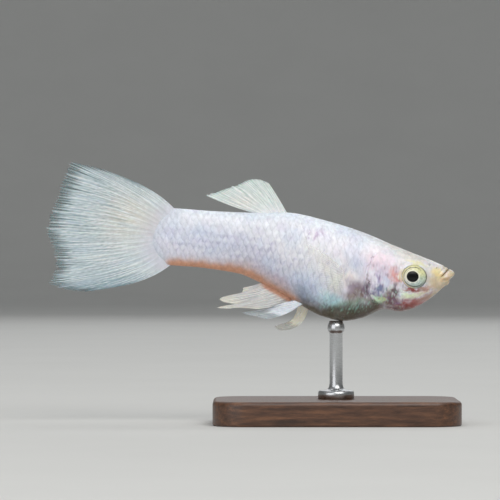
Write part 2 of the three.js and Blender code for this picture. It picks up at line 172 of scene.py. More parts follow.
# Meshes
def mesh_object(name, corners, faces, colours=None, alpha=None, uv=None):
    """A smooth object from corners, faces and values for each corner."""
    mesh = bpy.data.meshes.new(name)
    mesh.from_pydata(np.asarray(corners).tolist(), [], [list(map(int, f)) for f in faces])
    mesh.polygons.foreach_set("use_smooth", np.ones(len(mesh.polygons), bool))
    if colours is not None:
        tint = mesh.attributes.new("tint", "FLOAT_COLOR", "POINT")
        clear = np.ones(len(corners)) if alpha is None else alpha
        tint.data.foreach_set("color", np.column_stack([colours, clear]).astype(np.float32).ravel())
    if alpha is not None:
        cover = mesh.attributes.new("cover", "FLOAT", "POINT")
        cover.data.foreach_set("value", np.asarray(alpha, np.float32))
    if uv is not None:
        loops = np.empty(len(mesh.loops), int)
        mesh.loops.foreach_get("vertex_index", loops)
        layer = mesh.uv_layers.new(name="OFBake")
        layer.data.foreach_set("uv", np.asarray(uv, np.float32)[loops].ravel())
    mesh.validate()
    return in_scene(name, mesh)


def in_scene(name, data):
    """A new object that holds the data, in the scene."""
    made = bpy.data.objects.new(name, data)
    bpy.context.scene.collection.objects.link(made)
    return made


def grid_faces(rows, columns, closed=False):
    """Four-cornered faces of a grid of rows by columns, whose columns may close on themselves."""
    i = np.arange(rows - 1)[:, None]
    j = np.arange(columns if closed else columns - 1)[None, :]
    k = (j + 1) % columns
    a, b = i * columns + j, i * columns + k
    return np.stack([a, b, b + columns, a + columns], -1).reshape(-1, 4)


def closed_sheets(sheet, rim, far):
    """Faces of two like sheets of far corners each, and of the wall between their rims."""
    after = np.roll(rim, -1)
    wall = np.stack([after, rim, rim + far, after + far], -1)
    return np.concatenate([sheet, (sheet + far)[:, ::-1], wall])


def circle(radius, count, z):
    """Points of a level circle round the z axis."""
    turn = np.linspace(0, FULL_TURN, count, endpoint=False)
    return np.stack([radius * np.cos(turn), radius * np.sin(turn), z + 0 * turn], -1)


def unit(vectors):
    return vectors / np.maximum(np.linalg.norm(vectors, axis=-1, keepdims=True), 1e-12)


def normals_of(grid):
    """Outward unit normals of a grid of points whose columns close round the body."""
    around = np.roll(grid, -1, axis=1) - np.roll(grid, 1, axis=1)
    return unit(np.cross(around, np.gradient(grid, axis=0)))


def wobble(points, size, seed):
    """Smooth random values, mostly from -1 to 1, by sums of waves in seeded directions."""
    draw = np.random.default_rng(seed)
    total = np.zeros(points.shape[:-1])
    for _ in range(WAVES):
        way = draw.normal(size=3)
        way *= FULL_TURN / size / np.linalg.norm(way) * draw.uniform(0.6, 1.6)
        total += np.sin(points @ way + draw.uniform(0, FULL_TURN))
    return total / math.sqrt(WAVES)


def patches(points, size, seed, start, end):
    """Soft random patches, 0 where the random values are below start and 1 above end."""
    return ramp(wobble(points, size, seed), start, end)


# Markings, painted alike on the skin, the scales and the roots of the fins
PEARL = (238, 233, 241)
BACK_WHITE = (236, 240, 246)
UPPER_WHITE = (244, 243, 248)
LILAC = (218, 206, 230)
TAIL_ROOT = (218, 220, 230)
SKY = (206, 217, 238)
LOW_FLANK = (230, 225, 236)
BELLY_BROWN = (98, 89, 67)
BELLY_EDGE = (168, 152, 138)
STALK_ORANGE = (220, 156, 122)
STALK_PINK = (216, 182, 174)
# name: (x, z, half length, half height, turn in degrees, colour, strength)
BROAD_MARKS = {
    "stalk_blue": (4.5, 0.6, 6.0, 1.6, 0, (212, 219, 240), 0.55),
    "flank_lilac": (11.8, -0.6, 5.5, 1.6, -8, (204, 202, 222), 0.6),
    "low_flank_purple": (13.6, -3.0, 3.4, 0.8, -20, (192, 172, 202), 0.5),
    "belly_blue": (17.8, -3.5, 2.6, 2.0, -15, (204, 222, 248), 0.8),
    "belly_shade": (18.0, -5.1, 2.4, 0.85, -30, (134, 142, 162), 0.75),
    "belly_cyan": (20.7, -4.95, 1.9, 0.8, -12, (198, 242, 252), 0.95),
    "belly_teal": (22.6, -5.75, 2.9, 0.72, 6, (100, 130, 118), 0.85),
    "belly_green": (23.6, -4.85, 2.4, 0.5, 8, (132, 164, 128), 0.8),
    "cream_high": (17.7, 0.9, 1.5, 0.5, -40, (238, 228, 194), 0.9),
    "cream_middle": (19.6, -0.7, 1.9, 0.62, -40, (236, 228, 196), 0.9),
    "cream_low": (20.9, -2.7, 1.15, 1.9, -8, (224, 226, 208), 0.75),
    "cream_below": (22.4, -2.0, 0.9, 0.8, 0, (234, 220, 196), 0.5),
    "dash_glow": (17.7, 2.5, 1.6, 1.1, -10, (232, 212, 232), 0.55),
    "shoulder_glow": (18.4, 0.4, 5.5, 2.8, -10, (250, 246, 248), 0.85),
    "shoulder_pink": (22.5, 1.0, 2.6, 1.2, -12, (240, 222, 232), 0.5),
    "shoulder_blue": (23.6, 0.0, 0.9, 0.8, 0, (196, 206, 234), 0.5),
    "purple_patch": (24.05, -3.05, 1.2, 1.2, 0, (124, 102, 114), 0.85),
    "brown_patch": (23.9, -4.1, 2.1, 0.8, 0, (126, 100, 86), 0.9),
}
FINE_MARKS = {
    "dash_rear": (17.2, 2.5, 0.17, 0.7, 6, (190, 156, 190), 0.6),
    "dash_middle": (18.1, 2.5, 0.17, 0.75, 6, (190, 152, 194), 0.65),
    "dash_front": (18.65, 3.0, 0.15, 0.7, 6, (200, 162, 200), 0.55),
    # painted shade along the back's upper edge over the nape
    "nape_edge_shade": (25.2, 3.3, 5.6, 0.6, -16, (194, 194, 197), 0.7),
    "crown_pale": (30.2, 1.5, 4.2, 1.5, -15, (222, 219, 210), 0.85),
    "crown_lavender": (32.0, 0.95, 0.8, 0.25, -14, (214, 210, 226), 0.6),
    "crown_edge": (29.6, 2.0, 3.0, 0.5, -17, (192, 186, 180), 0.6),
    "gill_pink_high": (26.2, 0.4, 2.4, 1.4, -10, (238, 216, 228), 0.75),
    "gill_lilac": (26.5, -1.4, 1.6, 1.5, 0, (216, 206, 228), 0.75),
    "gill_white": (25.55, -1.6, 0.4, 1.1, 8, (244, 240, 250), 0.85),
    "gill_violet": (26.3, -1.9, 0.3, 0.7, 10, (150, 138, 184), 0.6),
    "gill_blue": (26.35, -2.9, 0.75, 0.8, 0, (116, 124, 166), 0.88),
    "gill_blue_high": (27.2, -2.0, 0.5, 0.6, 0, (222, 226, 246), 0.8),
    "gill_spot": (25.85, -3.55, 0.28, 0.3, 0, (90, 96, 132), 0.7),
    "gill_teal": (27.4, -2.85, 0.42, 0.3, 20, (116, 160, 168), 0.75),
    "gill_gleam": (28.0, -2.75, 0.3, 0.5, 10, (238, 238, 232), 0.7),
    "gill_line": (24.92, -2.35, 0.17, 1.0, 8, (92, 62, 66), 0.8),
    "gill_line_soft": (24.85, -3.2, 0.55, 1.1, 12, (112, 90, 112), 0.75),
    "cheek_red": (28.45, -1.35, 0.6, 1.0, 12, (220, 140, 134), 0.8),
    "cheek_pink": (27.95, -1.1, 0.75, 1.1, 20, (232, 168, 164), 0.6),
    "cheek_white": (28.6, 0.35, 0.55, 0.6, 0, (238, 228, 230), 0.6),
    "gill_brown": (27.85, -3.5, 0.75, 0.7, 0, (128, 106, 94), 0.8),
    "gill_bar": (28.45, -2.95, 0.46, 0.95, 12, (88, 62, 60), 0.88),
    "green_spot": (26.45, -4.25, 0.68, 0.62, 10, (226, 255, 222), 1.0),
    "green_yellow": (27.05, -4.1, 0.42, 0.36, 0, (216, 228, 158), 0.75),
    "olive_corner": (27.6, -4.55, 0.7, 0.4, 0, (140, 118, 78), 0.75),
    "jowl_purple": (28.2, -4.1, 0.85, 0.75, 0, (124, 86, 98), 0.85),
    "jowl_violet": (28.8, -4.4, 0.35, 0.35, 0, (136, 116, 178), 0.6),
    "cyan_spot": (29.35, -3.1, 0.66, 0.64, 0, (244, 254, 252), 1.0),
    "jaw_green": (30.3, -3.35, 1.3, 0.42, 14, (242, 252, 214), 0.95),
    "jaw_green_tail": (31.7, -2.75, 0.9, 0.18, 24, (232, 232, 196), 0.75),
    "under_eye_red": (30.4, -2.52, 1.35, 0.33, 8, (166, 76, 68), 0.95),
    "under_eye_pink": (32.1, -2.2, 1.2, 0.36, 24, (190, 146, 124), 0.8),
    "throat_red": (30.6, -4.35, 2.2, 0.75, 14, (182, 100, 92), 0.9),
    "throat_deep": (29.9, -4.6, 1.6, 0.34, 6, (150, 72, 68), 0.6),
    "throat_edge": (29.4, -5.2, 2.9, 0.42, 5, (142, 104, 96), 0.85),
    "throat_grey": (32.4, -3.2, 1.3, 0.45, 32, (186, 142, 118), 0.8),
    "snout_grey": (32.6, -1.0, 1.0, 1.3, 20, (216, 208, 192), 0.8),
    "snout_tan": (33.5, -1.4, 1.1, 1.2, 30, (218, 196, 154), 0.75),
    "nose_yellow": (33.2, -0.15, 1.0, 0.75, -30, (250, 228, 160), 0.8),
    "lip_orange": (34.4, -0.7, 0.8, 0.5, 45, (240, 202, 142), 0.75),
    "lip_cream": (35.1, 0.05, 0.7, 0.6, 0, (214, 194, 152), 0.85),
    "lip_under": (34.9, -1.15, 0.8, 0.75, 0, (222, 202, 162), 0.8),
    "lip_top": (34.3, 0.45, 0.8, 0.4, -30, (202, 190, 160), 0.85),
    "chin_cream": (33.8, -2.1, 1.5, 0.4, 42, (226, 208, 174), 0.8),
    "brow_yellow": (30.6, 0.66, 1.3, 0.3, -8, (234, 229, 178), 0.7),
    "eye_corner": (28.9, -1.0, 0.3, 1.0, 6, (240, 226, 180), 0.7),
}


def mix(under, over, share):
    return under + (over - under) * np.clip(share, 0, 1)[..., None]


def layered(colour, *layers):
    """A colour under layers, each one a colour named as 0 to 255 and how much of it shows."""
    for named, share in layers:
        colour = mix(colour, srgb(*named), share)
    return colour


def plain(named, points):
    """One colour at all of the places."""
    return srgb(*named) + 0 * points


def dab(colour, points, marks, hard, soft):
    """Lays soft oval marks over a colour, seen from the side."""
    x, _, z = np.moveaxis(points, -1, 0)
    for mark_x, mark_z, length, tall, turn, shade, strength in marks.values():
        c, s = math.cos(math.radians(turn)), math.sin(math.radians(turn))
        along = (x - mark_x) * c + (z - mark_z) * s
        across = (z - mark_z) * c - (x - mark_x) * s
        reach = np.hypot(along / length, across / tall)
        colour = layered(colour, (shade, strength * (1 - ramp(reach, hard, soft))))
    return colour


def strayed(points, size, amount, seed):
    """Places moved a little at random, so that the marks have wandering edges."""
    return points + amount * np.stack([wobble(points, size, seed + k) for k in range(3)], -1)


def markings(points):
    """The colour of the body at places of the fish's frame."""
    x, _, z = np.moveaxis(points, -1, 0)
    over = z - belly(x)
    height = np.clip(over / (back(x) - belly(x)), 0, 1)
    colour = layered(
        plain(LOW_FLANK, points),
        (PEARL, ramp(height, 0.2, 0.5)),
        (UPPER_WHITE, 0.9 * ramp(height, 0.55, 0.78)),
        (BACK_WHITE, ramp(height, 0.86, 0.97)),
    )
    # the dark keel of the ripe belly, and the stripe under the tail stalk with a blush above it
    over_keel = over + 0.08 * wobble(points, 1.5, 15)
    ripe = ramp(x, 18.5, 23)
    keel = 1 - ramp(over_keel + 0.15 * wobble(points, 0.9, 21), 0.35 + 0.85 * ripe, 1.5 + 1.3 * ripe)
    keel = keel * span(x, 15.4, 18.5, 26.4, 27.9)
    calm = 1 - 0.85 * keel
    tall = 0.6 + 0.22 * ramp(x, 6, 10) - 0.3 * ramp(x, 11, 13.5)
    stripe = (1 - ramp(over_keel, tall - 0.25, tall + 0.55)) * span(x, -0.6, 1.2, 16.2, 17.6)
    blush = 1 - ramp(over_keel, tall - 0.1, tall + 1.1 + 0.9 * ramp(x, 7, 11))
    # short upright dashes, dark and bright
    dashes = wobble(points * [2.2, 1, 1], 0.8, 18)
    netted = span(x, -2, 1, 21, 25) * bell(height - 0.45, 0.26) * (1 - stripe)
    colour = layered(
        dab(colour, strayed(points, 2.4, 0.28, 20), BROAD_MARKS, 0.1, 1.5),
        (BELLY_BROWN, 0.92 * keel),
        (BELLY_EDGE, 0.4 * bell(over, 0.16) * span(x, 18, 20, 26, 27)),
        (SKY, 0.35 * calm * patches(points, 4.4, 11, 0.2, 1.4)),
        (LILAC, 0.3 * calm * patches(points, 2.6, 12, 0.2, 1.4)),
        (STALK_PINK, 0.75 * blush * span(x, -0.6, 1.2, 15, 17.5)),
        ((164, 160, 190), 0.5 * netted * ramp(dashes, 0.3, 1.5)),
        ((248, 248, 252), 0.45 * netted * ramp(-dashes, 0.3, 1.5)),
    )
    tan = srgb(*STALK_ORANGE) * (1 + 0.05 * wobble(points, 1.2, 19))[..., None]
    colour = mix(colour, tan, 0.9 * stripe)
    # the flesh over the tail fin's root takes on its colour
    past = edge_x(HYPURAL_EDGE, z) - x
    colour = layered(colour, (TAIL_ROOT, 0.9 * ramp(past, -2.2, -0.2) * (1 - stripe)))
    # the gill cover's play of colours, and green and blue glints along the belly
    shining = span(x, 23, 25.5, 28.8, 30.5) * (1 - ramp(z, -0.8, 0.8)) * calm
    speck = wobble(points * [1.6, 1, 0.9], 0.75, 16)
    green = shining * bell(z + 3.9, 1.3)
    glint = wobble(points * [1.3, 1, 1], 0.7, 22)
    low = span(x, 8, 12, 24, 26) * bell(height - 0.25, 0.22) * calm
    glow = span(x, 17.5, 20, 26, 27.5) * bell(over_keel - 1.6, 0.7)
    spark = wobble(points * [1.8, 1, 0.8], 0.5, 23)
    strays = strayed(strayed(points, 1.3, 0.17, 24), 0.45, 0.1, 28)
    return np.clip(layered(
        dab(colour, strays, FINE_MARKS, 0.25, 1.35),
        ((240, 244, 252), 0.55 * shining * ramp(speck, 0.3, 1.5)),
        ((112, 92, 112), 0.4 * shining * ramp(-speck, 0.4, 1.6)),
        ((176, 232, 212), 0.5 * green * ramp(glint, 0.5, 1.6)),
        ((140, 128, 184), 0.4 * green * ramp(-glint, 0.6, 1.7)),
        ((128, 124, 152), 0.3 * low * patches(points, 0.5, 17, 0.5, 1.5)),
        ((168, 222, 206), 0.6 * glow * ramp(spark, 0.3, 1.4)),
        ((52, 66, 56), 0.5 * glow * ramp(-spark, 0.4, 1.4)),
    ), 0, 1)


# The skin's relief
EYE = {
    "x": 30.45, "z": -0.95, "radius": 1.5, "wide": 1.05, "tall": 0.95, "depth": 0.9, "inset": 0.42,
    "turn": 0.12, "rise": 0.05,
}
SLIT = {"x": 34.78, "z": 0.74, "lean": 0.645}
NOSTRILS = [(33.1, 0.42, 0.1), (32.2, 0.72, 0.13)]
GILL_TOP = 1.05
GILL_BOTTOM = -4.75
THROAT_FOLDS = (-4.45, -4.75, -5.02)


def slit_places(x, z):
    """How far places lie up along the mouth's slit from its lower end, and in front of it."""
    c, s = math.cos(SLIT["lean"]), math.sin(SLIT["lean"])
    ahead, above = x - SLIT["x"], z - SLIT["z"]
    return ahead * s + above * c, ahead * c - above * s


def past_eye(x, z):
    """How far places lie outside the eye's rim."""
    away = np.hypot((x - EYE["x"]) / EYE["wide"], (z - EYE["z"]) / EYE["tall"])
    return away - EYE["radius"]


def mouth_relief(x, z):
    """The slit between the lips, a full lower lip, a thin upper one and the folds behind them."""
    along, before = slit_places(x, z)
    opened = ramp(along, -1.75, -1.3)
    front = ramp(along, -1.8, -0.7)
    rise = -0.3 * bell(before, 0.06) * opened
    middle, wide = 0.24 + 0.36 * front, 0.17 + 0.2 * front
    rise += (0.08 + 0.36 * front) * bell(before - middle, wide) * ramp(along, -2.1, -1.4)
    rise -= 0.06 * bell(before - middle - 1.75 * wide, 0.14) * ramp(along, -2.4, -1.4)
    rise += 0.05 * bell(before + 0.22, 0.14) * opened
    rise -= 0.06 * bell(before + 0.48, 0.1) * ramp(along, -2.1, -1.2)
    rise -= 0.05 * bell(before - 0.05, 0.3) * bell(along + 1.95, 0.3)
    return rise


def gill_relief(x, z):
    """The gill cover: a free rear edge over a groove, a front ridge, an upper and a lower seam."""
    past = x - edge_x(GILL_EDGE, z)
    cover = span(z, GILL_BOTTOM - 0.3, GILL_BOTTOM + 0.5, GILL_TOP - 0.1, GILL_TOP + 0.5)
    rise = 0.12 * cover * span(past, -0.06, 0.05, 0.3, 3.4)
    rise -= 0.09 * cover * bell(past + 0.18, 0.14)
    front = x - (28.05 + 0.05 * (z + 1) ** 2)
    ridge = 0.03 * bell(front + 0.28, 0.22) - 0.035 * bell(front, 0.12)
    rise += cover * ridge * (1 - ramp(z, -0.6, 0.8))
    upper = z - GILL_TOP + 0.02 * (x - 27) ** 2
    rise -= 0.04 * bell(upper, 0.1) * ramp(past, 0, 0.4) * (1 - ramp(x, 27.4, 28.4))
    lower = z + 3.2 + 0.18 * (x - 26.5)
    return rise - 0.035 * bell(lower, 0.07) * ramp(past, 0.1, 0.5) * (1 - ramp(x, 27.4, 27.9))


def relief(points):
    """How far the skin stands out from the plain body: lips, nostrils, gill covers, eye sockets."""
    x, _, z = np.moveaxis(points, -1, 0)
    rise = mouth_relief(x, z) + gill_relief(x, z)
    for nostril_x, nostril_z, radius in NOSTRILS:
        away = np.hypot(x - nostril_x, z - nostril_z)
        rise += 0.03 * bell(away - 1.7 * radius, 0.8 * radius) - 0.16 * bell(away, 0.9 * radius)
    # the eye's socket, with a soft rim and a fold round it
    past = past_eye(x, z)
    rise += 0.08 * bell(past - 0.06, 0.16) - 0.035 * bell(past - 0.5, 0.16)
    rise -= 0.9 * (1 - ramp(past, -0.28, -0.03))
    # the bony cheek below the eye, the jaw's joint and the folds of the throat
    cheek = z + 2.95 - 0.22 * (x - 30)
    rise -= 0.045 * bell(cheek, 0.09) * span(x, 28.4, 29.2, 32.6, 33.6)
    rise += 0.03 * bell(cheek - 0.3, 0.22) * span(x, 28.8, 29.6, 32, 33)
    for fold in THROAT_FOLDS:
        rise -= 0.03 * bell(z - fold - 0.25 * (x - 28.4), 0.05) * span(x, 26.2, 27.2, 30.8, 31.6)
    # the fleshy root of the breast fin
    rise += 0.1 * bell(np.hypot(x - 22.9, (z + 2.5) * 0.7), 0.6)
    rise += 0.012 * wobble(points, 1.1, 31) * ramp(x, 24, 27)
    return rise + 0.006 * wobble(points, 0.4, 32) * ramp(x, 25, 27)


def tail_taper(points):
    """How much of its width the flesh keeps at places on and beyond the tail fin's root."""
    beyond = edge_x(HYPURAL_EDGE, points[..., 2]) - points[..., 0]
    return 1 - 0.25 * ramp(beyond, -2.6, -0.4) - 0.72 * ramp(beyond, -1.0, 0.6)


STATIONS = {"trunk": 240, "head": 225, "head_from": 24.0, "cap": 18, "around": 272}


def skin_grid():
    """The skin as a grid of points from the tail to the snout, before its relief."""
    x = np.concatenate([
        np.linspace(TAIL_END, STATIONS["head_from"], STATIONS["trunk"], endpoint=False),
        np.linspace(STATIONS["head_from"], SNOUT_END, STATIONS["head"]),
    ])
    angle = np.linspace(0, FULL_TURN, STATIONS["around"], endpoint=False)
    grid = section(x[:, None] + 0 * angle, angle[None, :] + 0 * x[:, None])
    grid[..., 1] *= tail_taper(grid)
    middle = float(widest_at(SNOUT_END))
    turn = np.linspace(0, 0.48 * math.pi, STATIONS["cap"] + 1)[1:, None]
    cap = np.repeat(grid[-1:], len(turn), axis=0)
    cap[..., 0] += (SNOUT_ROUNDING - SKIN_DEPTH) * np.sin(turn)
    cap[..., 1] *= np.cos(turn)
    cap[..., 2] = middle + (cap[..., 2] - middle) * np.cos(turn)
    return np.concatenate([grid, cap])


def make_skin():
    grid = skin_grid()
    grid = grid + normals_of(grid) * relief(grid)[..., None]
    rows, around = grid.shape[:2]
    corners = np.concatenate([grid.reshape(-1, 3), [grid[0].mean(0), grid[-1].mean(0)]])
    faces = list(grid_faces(rows, around, closed=True))
    first = rows * around
    for j in range(around):
        k = (j + 1) % around
        faces += [(first, k, j), (first + 1, first - around + j, first - around + k)]
    x, z = corners[:, 0], corners[:, 2]
    along, before = slit_places(x, z)
    # painted shade in the crease where the skin meets the eye, strongest at its lower front
    lower_front = 0.12 + 0.88 * ramp(x - EYE["x"] - (z - EYE["z"]), -0.8, 1.2)
    colours = layered(
        markings(corners),
        # painted shade in the mouth's slit: a dark line, with a softer brown band along it
        ((120, 90, 62), 0.75 * bell(before, 0.07) * ramp(along, -1.75, -1.3)),
        ((176, 144, 100), 0.35 * bell(before, 0.22) * ramp(along, -2.0, -1.4)),
        # painted shade in the pits of the nostrils
        *(((124, 112, 98), 0.5 * bell(np.hypot(x - nostril_x, z - nostril_z), 0.8 * radius))
          for nostril_x, nostril_z, radius in NOSTRILS),
        # painted shade in the crease round the eye
        ((70, 66, 62), 0.7 * lower_front * bell(past_eye(x, z) + 0.06, 0.07)),
    )
    return mesh_object("body_skin", place(corners), faces, colours)


# Scales
SCALES = {"pitch": 0.84, "rows": 24, "first": -1.6, "last": 29.6, "lift": 0.021, "seed": 7}
PLATE = {"rings": (0.35, 0.68, 0.92, 1.0), "spokes": 16, "long": 0.82, "wide": 1.02, "under": 0.02}


def turning(x, part):
    """The section angle at places x where a share of the way round the body is reached."""
    stations = np.linspace(TAIL_END, SNOUT_END, 400)
    angle = np.linspace(0, FULL_TURN, 361)
    rings = section(stations[:, None] + 0 * angle, angle + 0 * stations[:, None])
    steps = np.linalg.norm(np.diff(rings, axis=1, prepend=rings[:, :1]), axis=-1)
    length = np.cumsum(steps, 1)
    # shares rise along each row, so adding twice the row's number keeps one sorted table
    table = (length / length[:, -1:] + 2 * np.arange(len(stations))[:, None]).ravel()
    spot = (x - stations[0]) / (stations[1] - stations[0])
    row = np.clip(spot.astype(int), 0, len(stations) - 2)
    angles = np.tile(angle, len(stations))
    here, ahead = (np.interp(part % 1 + 2 * r, table, angles) for r in (row, row + 1))
    return here + (ahead - here) * np.clip(spot - row, 0, 1)


def plate_pattern():
    """Places of a round plate's corners, and the faces of its top, rim and underside."""
    rings, spokes = len(PLATE["rings"]), PLATE["spokes"]
    places = [np.zeros((1, 3))] + [circle(radius, spokes, 0) for radius in PLATE["rings"]]
    per = 1 + rings * spokes

    def at(ring, spoke):
        return 1 + (ring - 1) * spokes + spoke % spokes

    faces = []
    for k in range(spokes):
        faces.append((0, at(1, k + 1), at(1, k)))
        for r in range(1, rings):
            faces.append((at(r, k), at(r, k + 1), at(r + 1, k + 1), at(r + 1, k)))
        rim, after = at(rings, k), at(rings, k + 1)
        faces += [
            (rim, after, per + after, per + rim),
            (per, per + at(1, k), per + at(1, k + 1)),
            (per + at(1, k), per + rim, per + after, per + at(1, k + 1)),
        ]
    return np.concatenate(places)[:, :2], faces


def scale_roots():
    """Where the scales' middles lie, as x and a share of the way round, in staggered rows."""
    columns = int((SCALES["last"] - SCALES["first"]) / SCALES["pitch"])
    roots = [(SCALES["first"] + (c + 0.5 * (r % 2)) * SCALES["pitch"], r / SCALES["rows"])
             for r in range(SCALES["rows"]) for c in range(columns)]
    return np.array(roots)


def scale_paint(base, disc, draw):
    """The body's markings, a little different on each scale and darker along its free edge, partly as
    painted shade.
    """
    x, z = base[..., 0], base[..., 2]
    height = (z - belly(x)) / (back(x) - belly(x))
    light = ramp(height, 0.13, 0.26)
    hue = draw.uniform(0, 1, (len(base), 1))
    rear = ramp(np.hypot(*disc.T), 0.7, 1.0) * ramp(disc[:, 0], -0.3, 0.5)
    netted = light * (0.3 + 0.7 * bell(height - 0.42, 0.3)) * (1 - 0.6 * ramp(x, 14, 22))
    gleam = light * bell(disc[:, 0] - 0.3, 0.3) * (1 - rear)
    paint = layered(markings(base), (SKY, 0.1 * light * (hue < 0.3)), (LILAC, 0.1 * light * (hue > 0.72)))
    # darkening along each scale's free edge: partly the net's own colour, partly painted shade where the
    # edge lies over the next scale
    paint = mix(paint, paint * [0.66, 0.66, 0.76], 0.2 * rear * netted)
    paint = layered(paint, ((250, 250, 254), 0.14 * gleam))
    return np.clip(paint * (1 + draw.normal(0, 0.012, (len(base), 1, 1))), 0, 1)


def make_scales():
    """Overlapping round-edged scales in rows along the body, each a thin closed plate."""
    draw = np.random.default_rng(SCALES["seed"])
    disc, pattern = plate_pattern()
    root = scale_roots()
    root_x = root[:, :1]
    # a plate reaches tailwards from just before its root, and to both sides round the body
    tailwards = (disc[:, 0] * PLATE["long"] + 0.12) * SCALES["pitch"]
    x = np.clip(root_x - tailwards, TAIL_END + 0.02, SNOUT_END - 0.05)
    turn = turning(x, root[:, 1:] + disc[:, 1] * PLATE["wide"] / SCALES["rows"])
    base = section(x, turn)
    normal = unit(np.cross(section(x, turn + 0.01) - base, section(x + 0.02, turn) - base))
    # scales end at the gill cover, over the nape and past the root of the tail fin
    middle_x, middle_z = base[:, 0, 0], base[:, 0, 2]
    behind_gill = middle_x - edge_x(GILL_EDGE, middle_z) <= -0.55
    keep = behind_gill | (middle_z >= GILL_TOP + 0.25)
    keep &= middle_x > edge_x(HYPURAL_EDGE, middle_z) - 0.1
    keep &= (middle_x <= 27.5) | (middle_z >= 1.2)
    base[..., 1] *= tail_taper(base)
    lift = SCALES["lift"] * (1 - 0.85 * ramp(root_x, 22, 29)) * (1 - 0.3 * ramp(-root_x, -1, 1.5))
    raised = 0.75 * (disc[:, 0] + 1) * draw.uniform(0.85, 1.15, (len(root), 1))
    height = lift * raised - 0.012 - 0.005 * ramp(np.hypot(*disc.T), 0.6, 1.0)
    plates = np.concatenate([base + normal * height[..., None], base - normal * PLATE["under"]], 1)
    paint = np.concatenate([scale_paint(base, disc, draw)] * 2, 1)
    # every scale has a patch of its own on the UV map
    spots = np.column_stack([(root[:, 0] - TAIL_END) / 40 + 0.02, root[:, 1] * 0.96 + 0.02])
    patch = np.concatenate([disc * 0.0015 + spots[:, None]] * 2, 1)
    left = (root[:, 1] < 0.25) | (root[:, 1] >= 0.75)
    made = []
    for side, here in (("right", ~left), ("left", left)):
        chosen = keep & here
        corners = plates[chosen].reshape(-1, 3)
        starts = range(0, len(corners), 2 * len(disc))
        faces = [[start + k for k in face] for start in starts for face in pattern]
        made.append(mesh_object(
            f"scales_{side}", place(corners), faces, paint[chosen].reshape(-1, 3),
            uv=patch[chosen].reshape(-1, 2),
        ))
    return made


# Fins
def through(points):
    """A smooth curve through points, as a function of the share of the way along them."""
    known = np.array(points, float)

    def at(share):
        share = np.clip(np.asarray(share, float), 0, 1) * (len(known) - 1)
        i = np.clip(np.floor(share).astype(int), 0, len(known) - 2)
        t = (share - i)[..., None]
        p0, p1 = known[np.maximum(i - 1, 0)], known[i]
        p2, p3 = known[i + 1], known[np.minimum(i + 2, len(known) - 1)]
        v0, v1 = (p2 - p0) / 2, (p3 - p1) / 2
        return ((2 * p1 - 2 * p2 + v0 + v1) * t**3 + (-3 * p1 + 3 * p2 - 2 * v0 - v1) * t**2
                + v0 * t + p1)

    return at


WANDER = 0.0475  # how far rays wander on their way, as a share of their spacing
FORKS = ((0.3, 0.42), (0.62, 0.74))  # where each ray forks, as shares of the way to the tip


def ray_pattern(share, reach, rays):
    """1 on the crest of a fin ray and 0 between rays; each fork doubles the rays."""
    def crests(count):
        return bell((share * count + 0.5) % 1 - 0.5, 0.2)

    pattern = crests(rays)
    for n, (start, end) in enumerate(FORKS):
        pattern = pattern + (crests(rays * 2 ** (n + 1)) - pattern) * ramp(reach, start, end)
    return pattern


def streaks(share, reach, across, along, seed):
    """Random values that run in long streaks down the fin's rays."""
    level = 0 * share * reach
    return wobble(np.stack([share * across + level, reach * along + level, level], -1), 1.0, seed)


def make_fin(name, root, bend, tip, sway, paint, rays, size, seed,
             thickness=(0.34, 0.05), ridge=0.075, fray=0.03):
    """A closed sheet of branching rays and membrane with a frayed rim, in the fish's frame.

    Its rays leave the root line, bend towards the bend line and end on the tip line.
    """
    columns, rows = size
    share = np.linspace(0, 1, columns)[:, None]
    reach = np.linspace(0, 1, rows + 1)[None, :]
    draw = np.random.default_rng(seed)

    def uneven(knots, low, high):
        """Random values along the root line, which run straight from knot to knot."""
        return np.interp(share, np.linspace(0, 1, knots), draw.uniform(low, high, knots))

    # the rays lie a little unevenly and wander on their way, and some are stronger than others
    shifted = share + uneven(2 * rays + 1, -0.16, 0.16) / rays
    strength = uneven(2 * rays + 1, 0.6, 1)
    wander = WANDER / rays * streaks(share, reach, 9, 3, seed + 80)
    crest = ray_pattern(shifted + wander, reach, rays) * strength
    ragged, torn = uneven(rays * 3, -1, 0.4), uneven(rays * 11, -1, 1)
    t = reach * (1 + fray * (0.6 * (crest[:, -1:] - 0.75) + 0.5 * ragged + 0.3 * torn))
    flat = ((1 - t) ** 2)[..., None] * root(share) + (t * t)[..., None] * tip(share)
    flat = flat + (2 * t * (1 - t))[..., None] * bend(share)
    # the rays have joints, and they and the membrane thin out to the tip and at both edges
    joints = 0.88 + 0.12 * np.cos(FULL_TURN * reach * rows / 5)
    raised = ridge * crest * joints * (1 - 0.72 * reach) * (0.25 + 0.75 * ramp(reach, 0.04, 0.3))
    half = (thickness[0] + (thickness[1] - thickness[0]) * np.clip(t, 0, 1)) / 2 + raised
    half = half * (1 - 0.75 * ramp(np.abs(share - 0.5), 0.4, 0.5) * (1 - ramp(reach, 0.15, 0.5)))
    out = sway(share + 0 * t, t)
    sheets = np.stack([
        np.stack([flat[..., 0], out + side * half, flat[..., 1]], -1) for side in (-1, 1)])
    number = np.arange(t.size).reshape(t.shape)
    rim = np.concatenate([number[:, 0], number[-1, 1:], number[-2::-1, -1], number[0, -2:0:-1]])
    faces = closed_sheets(grid_faces(*t.shape), rim, t.size)
    colours, cover = paint(share + 0 * t, reach + 0 * t, crest, sheets[0])
    return mesh_object(
        name, place(sheets.reshape(-1, 3)), faces, np.tile(colours.reshape(-1, 3), (2, 1)),
        np.tile(np.clip(cover, 0, 1).ravel(), 2))


